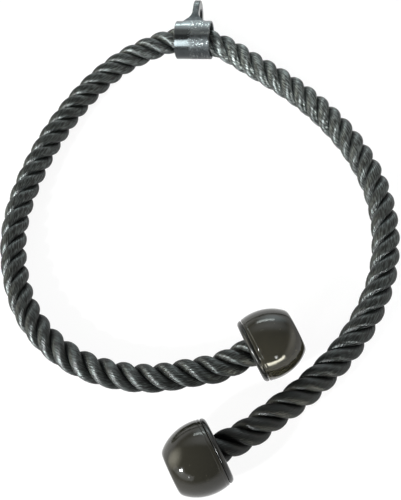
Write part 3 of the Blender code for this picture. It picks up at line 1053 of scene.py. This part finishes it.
def ring_outline():
    """The ring's closed outline: spigot, seat, rounded rim, face and rounded hole."""
    hole = ROPE_DIAMETER / 2 + RUNNING_CLEARANCE
    rim = mouth_radius - RING_STEP
    seat = -CAP_MOUTH_SETBACK - GAP
    spigot = land_radius - GAP
    spigot_end = -CAP_MOUTH_SETBACK + RING_SPIGOT_DEPTH
    points = [(spigot_end, hole), (spigot_end, spigot), (seat, spigot)]
    points += arc((seat - LIP_ROUND, rim - LIP_ROUND), LIP_ROUND, 0, 90, RING_LIP_STEPS)
    edge_middle = (ring_face + RING_EDGE_ROUND, rim - RING_EDGE_ROUND)
    points += arc(edge_middle, RING_EDGE_ROUND, 90, 180, RING_RIM_STEPS)
    hole_middle = (ring_face + RING_HOLE_ROUND, hole + RING_HOLE_ROUND)
    points += arc(hole_middle, RING_HOLE_ROUND, 180, 270, RING_HOLE_STEPS)
    return points


print("ring outline points", len(ring_outline()))

# %% [markdown]
# The caps are moulded in a nearly black plastic with a warm cast, polished by hands. Gloss on
# black shows only what it mirrors, so the colour hardly matters and the surface does: long, low
# waves from the mould, a few smears that dull it, and dust. The ring is the same plastic, a
# little duller, because it is less handled.

# %% Make the moulded plastic
DUST_LIGHTER = 6
FINE_WAVE_SHARE = 0.12


def moulded_plastic(name, colour, dull, polished, wave_depth):
    """Dark glossy plastic with mould waves, smears and dust."""
    material, tree, shader = new_material(name, ior=1.48)
    place = object_place(tree)
    grain = place_group(grain_group, Vector=place, Scale=1400.0, Detail=2.0)
    marks = place_group(handling_group, Vector=place, Smear_Scale=55.0, Speck_Scale=260.0)
    dusty = tuple(DUST_LIGHTER * part for part in colour)
    plug_in(mix_colours(marks["Specks"], colour, dusty), shader["Base Color"])
    roughness = map_range(marks["Smears"], 0, 1, polished, dull)
    plug_in(roughness, shader["Roughness"])
    fine_waves = product(grain["Height"], FINE_WAVE_SHARE)
    height = math_node("ADD", fine_waves, grain["Patches"])
    add_relief(shader, height, strength=0.4, depth=wave_depth)
    return material


cap_plastic = moulded_plastic(
    "cap_plastic", (0.019, 0.0175, 0.012), dull=0.16, polished=0.07, wave_depth=0.0005
)
ring_plastic = moulded_plastic(
    "ring_plastic", (0.008, 0.008, 0.007), dull=0.34, polished=0.22, wave_depth=0.0003
)
print("plastics ready")

# %% Spin the caps and rings
for side, middle, way in (
    ("left", left_cap_middle, left_cap_way),
    ("right", right_cap_middle, right_cap_way),
):
    place = Matrix.Translation(middle) @ way.to_track_quat("X", "Z").to_matrix().to_4x4()
    make_piece(
        side + "_cap_moulding", spun(shell_outline(), False, CAP_SPIN_STEPS), place,
        cap_plastic, side + "_cap", side + "_cap_shell",
    )
    make_piece(
        side + "_ring_moulding", spun(ring_outline(), True, CAP_SPIN_STEPS), place,
        ring_plastic, side + "_cap", side + "_mouth_ring",
    )

# %% [markdown]
# ## The fittings inside the caps
#
# The washer, the crimped ferrule and the taped rope end sit out of sight inside each cap. Their
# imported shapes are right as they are, so they only get a finish: dull zinc plating for the
# steel, and creased black tape.

# %% Make the zinc plating and the tape
GRAIN_EDGES = (0.3, 0.7)


def grained_finish(name, dark, light, roughness, scale, detail, strength, depth, **kind):
    """A plain finish with soft patches of two colours and a fine grain."""
    material, tree, shader = new_material(name, **kind)
    grain = place_group(grain_group, Vector=object_place(tree), Scale=scale, Detail=detail)
    plug_in(mix_colours(grain["Patches"], dark, light), shader["Base Color"])
    roughness = map_range(grain["Height"], *GRAIN_EDGES, *roughness)
    plug_in(roughness, shader["Roughness"])
    add_relief(shader, grain["Height"], strength, depth)
    return material


zinc = grained_finish(
    "zinc_plating", dark=(0.36, 0.37, 0.38), light=(0.6, 0.6, 0.58), roughness=(0.28, 0.42),
    scale=600.0, detail=4.0, strength=0.3, depth=0.0001, metallic=1,
)
tape = grained_finish(
    "black_tape", dark=(0.012, 0.012, 0.012), light=(0.03, 0.03, 0.032), roughness=(0.4, 0.55),
    scale=350.0, detail=2.0, strength=0.5, depth=0.0003, ior=1.45,
)
for side in ("left", "right"):
    for part, material in (
        ("_thrust_washer", zinc),
        ("_crimp_ferrule", zinc),
        ("_end_whipping", tape),
    ):
        mesh = frame["nodes"][side + part].data
        mesh.materials.clear()
        mesh.materials.append(material)
print("fittings finished")

# %% [markdown]
# ## Floor, background and light
#
# The photograph has a pure white background. The floor is a plain one that still takes the
# object's soft shadow: a dim diffuse surface, with a white light of its own that only the
# camera and the mirrors see. The world does the same, so that gloss shows the same white room
# that the camera does, and only a softer light falls on the object itself.

# %% Make the floor
FLOOR_SIZE = 8
FLOOR_COLOUR = (0.12, 0.12, 0.12, 1)
FLOOR_GLOW = 0.92


def seen_directly(tree):
    """1 for rays from the camera, from a mirror or through glass, and 0 for the others."""
    path = tree.nodes.new("ShaderNodeLightPath").outputs
    either = math_node("MAXIMUM", path["Is Camera Ray"], path["Is Glossy Ray"])
    return math_node("MAXIMUM", either, path["Is Transmission Ray"])


floor_material = bpy.data.materials.new("floor")
floor_material.use_nodes = True
tree = floor_material.node_tree
tree.nodes.clear()
matte = add_node(tree, "ShaderNodeBsdfDiffuse", Color=FLOOR_COLOUR)
glow_strength = product(seen_directly(tree), FLOOR_GLOW)
glow = add_node(tree, "ShaderNodeEmission", Strength=glow_strength)
both = tree.nodes.new("ShaderNodeAddShader")
plug_in(matte.outputs[0], both.inputs[0])
plug_in(glow.outputs[0], both.inputs[1])
add_node(tree, "ShaderNodeOutputMaterial", Surface=both.outputs[0])

floor_edit = bmesh.new()
bmesh.ops.create_grid(floor_edit, x_segments=1, y_segments=1, size=FLOOR_SIZE / 2)
floor_mesh = finished_mesh("floor", floor_edit)
floor_mesh.materials.append(floor_material)
add_object("floor", floor_mesh)
print("floor is", FLOOR_SIZE, "m across")

# %% [markdown]
# The world is a white room. Its walls are white only near the floor, and a little higher they
# turn into a grey ceiling, as it was over the photographer. That puts a dark middle and a
# lighter border on everything round and glossy. Soft oval windows in the walls leave the broad,
# weak patches that the caps and the sleeve mirror, and the camera never sees them.

# %% Make the world
ROOM_LIGHT = 0.2
CEILING_COLOUR = (0.30, 0.30, 0.285)
WALL_TOP = 0.03
CEILING_START = 0.24
WINDOW_FALL = 1.5
# turn, climb, half width, half height, brightness and tint of each
SOFT_WINDOWS = (
    (-88, 22, 30, 28, 3.6, (1, 0.96, 0.80)),
    (178, 15, 34, 20, 2.0, (0.82, 0.96, 1)),
    (180, 42, 60, 24, 1.1, (0.95, 0.98, 1)),
    (96, 17, 62, 15, 1.5, (1, 0.98, 0.88)),
)


def way_towards(turn, climb):
    """A direction: turn in degrees from straight in front, positive to the right, then up."""
    turn, climb = radians(turn), radians(climb)
    return Vector((sin(turn) * cos(climb), -cos(turn) * cos(climb), sin(climb)))


def window_share(way, turn, climb, half_width, half_height):
    """1 in the middle of a soft oval window in the room's wall, falling to 0 at its edge."""
    middle = way_towards(turn, climb)
    sideways = way_towards(turn + 90, 0)
    upwards = middle.cross(sideways)
    aside = vector_node("DOT_PRODUCT", "Value", way, sideways / sin(radians(half_width)))
    above = vector_node("DOT_PRODUCT", "Value", way, upwards / sin(radians(half_height)))
    off = math_node("ADD", product(aside, aside), product(above, above))
    share = math_node("MAXIMUM", math_node("SUBTRACT", 1.0, off), 0.0)
    ahead = math_node("GREATER_THAN", vector_node("DOT_PRODUCT", "Value", way, middle), 0.0)
    return product(math_node("POWER", share, WINDOW_FALL), ahead)


world = bpy.data.worlds.new("white_room")
scene.world = world
world.use_nodes = True
tree = world.node_tree
tree.nodes.clear()
way_up = add_node(tree, "ShaderNodeTexCoord").outputs["Generated"]
climb = add_node(tree, "ShaderNodeSeparateXYZ", Vector=way_up).outputs["Z"]
overhead = map_range(climb, WALL_TOP, CEILING_START, 0, 1)
room = mix_colours(overhead, (1, 1, 1), CEILING_COLOUR)
colour = mix_colours(seen_directly(tree), (ROOM_LIGHT, ROOM_LIGHT, ROOM_LIGHT), room)
unseen = math_node(
    "SUBTRACT", 1.0, tree.nodes.new("ShaderNodeLightPath").outputs["Is Camera Ray"]
)
for turn, climb, half_width, half_height, brightness, tint in SOFT_WINDOWS:
    share = window_share(way_up, turn, climb, half_width, half_height)
    share = product(product(share, brightness), unseen)
    colour = vector_node("ADD", "Vector", colour, scaled(tint, share))
background = add_node(tree, "ShaderNodeBackground", Color=colour, Strength=1.0)
add_node(tree, "ShaderNodeOutputWorld", Surface=background.outputs[0])
print("room light", ROOM_LIGHT)

# %% [markdown]
# The glints in the photograph tell where its light came from, since each one is a small mirror.
# A small, strong lamp makes the sharp glint on the right cap. Four small windows stand close to
# the rope, each with a narrow spread that keeps its light on one part of the loop, because one
# wide window would also draw a stripe across both caps. A tall window makes the highlight that
# ends half way along the sleeve, a low warm one the band on the left cap, and a cool one stands
# behind the sleeve. A wide, weak window on the left joins them up.
#
# Each is an area lamp, placed by its direction as seen from a spot on the object, with the
# brightness of its surface given instead of its power, because that is what a mirror shows.

# %% A lamp by its direction and brightness


def hang_lamp(
    name, seen_from, turn, climb, distance, width, height, brightness, colour, spread=180
):
    """An area lamp by its direction from a spot, its distance and size, and its brightness.

    A lamp packs its whole power into its spread, so for a narrow one the power comes down.
    """
    data = bpy.data.lights.new(name, "AREA")
    data.shape = "RECTANGLE"
    data.size = width
    data.size_y = height
    data.energy = brightness * pi * width * height
    if spread < 180:
        half = radians(spread / 2)
        data.energy *= 1 - half / tan(half)
    data.color = colour
    data.spread = radians(spread)
    lamp = add_object(name, data)
    away = way_towards(turn, climb)
    lamp.location = seen_from + away * distance
    lamp.rotation_mode = "QUATERNION"
    lamp.rotation_quaternion = away.to_track_quat("Z", "Y")
    lamp.visible_camera = False
    print(name, "power", round(data.energy, 3), "W")


def hang_window(name, panes, **rest):
    """A window of several panes, each turned to the same spot."""
    for number, (turn, climb) in enumerate(panes, 1):
        hang_lamp(f"{name}_{number}", turn=turn, climb=climb, **rest)


print("straight in front is", way_towards(0, 0)[:])

# %% Hang the lamps
COOL_WHITE = (0.97, 1, 1)
ROPE_HEIGHT = 0.0125
ARM_WINDOW_CLIMB = 24
ARM_WINDOW_WIDTH_SHARE = 0.35
ARM_WINDOW_HEIGHT_SHARE = 0.3
# name, place of the spot, turn, distance, spread and brightness of each
ARM_WINDOWS = (
    ("left_arm_window", -0.20, 0.02, -30, 0.6, 36, 54),
    ("bottom_window", -0.10, -0.12, -52, 0.35, 26, 58),
    ("right_arm_window", 0.15, -0.03, -20, 0.4, 14, 72),
    ("upper_arm_window", 0.07, 0.13, 28, 0.6, 19, 98),
)

loop_middle = Vector((-0.05, 0, ROPE_HEIGHT))
hang_lamp(
    "key_lamp", right_cap_middle, turn=-47, climb=34, distance=1.6, width=0.08, height=0.08,
    brightness=1500, colour=COOL_WHITE,
)
hang_lamp(
    "left_window", loop_middle, turn=-30, climb=24, distance=1.3, width=1.3, height=0.36,
    brightness=1.5, colour=COOL_WHITE, spread=110,
)
for name, x, y, turn, distance, spread, brightness in ARM_WINDOWS:
    hang_lamp(
        name, Vector((x, y, ROPE_HEIGHT)), turn, ARM_WINDOW_CLIMB, distance,
        ARM_WINDOW_WIDTH_SHARE * distance, ARM_WINDOW_HEIGHT_SHARE * distance,
        brightness, COOL_WHITE, spread,
    )
hang_window(
    "tall_window", [(-15, climb) for climb in range(18, 47, 7)], seen_from=sleeve_middle,
    distance=1.0, width=0.105, height=0.155, brightness=28, colour=(0.95, 1, 1), spread=14,
)
hang_window(
    "low_window", [(turn, 11) for turn in range(15, 48, 8)], seen_from=left_cap_middle,
    distance=0.35, width=0.052, height=0.08, brightness=26, colour=(1, 0.97, 0.80), spread=20,
)
hang_window(
    "back_window", [(turn, 24) for turn in range(175, 208, 8)], seen_from=sleeve_middle,
    distance=2.0, width=0.34, height=0.4, brightness=8, colour=(0.92, 1, 0.97), spread=18,
)
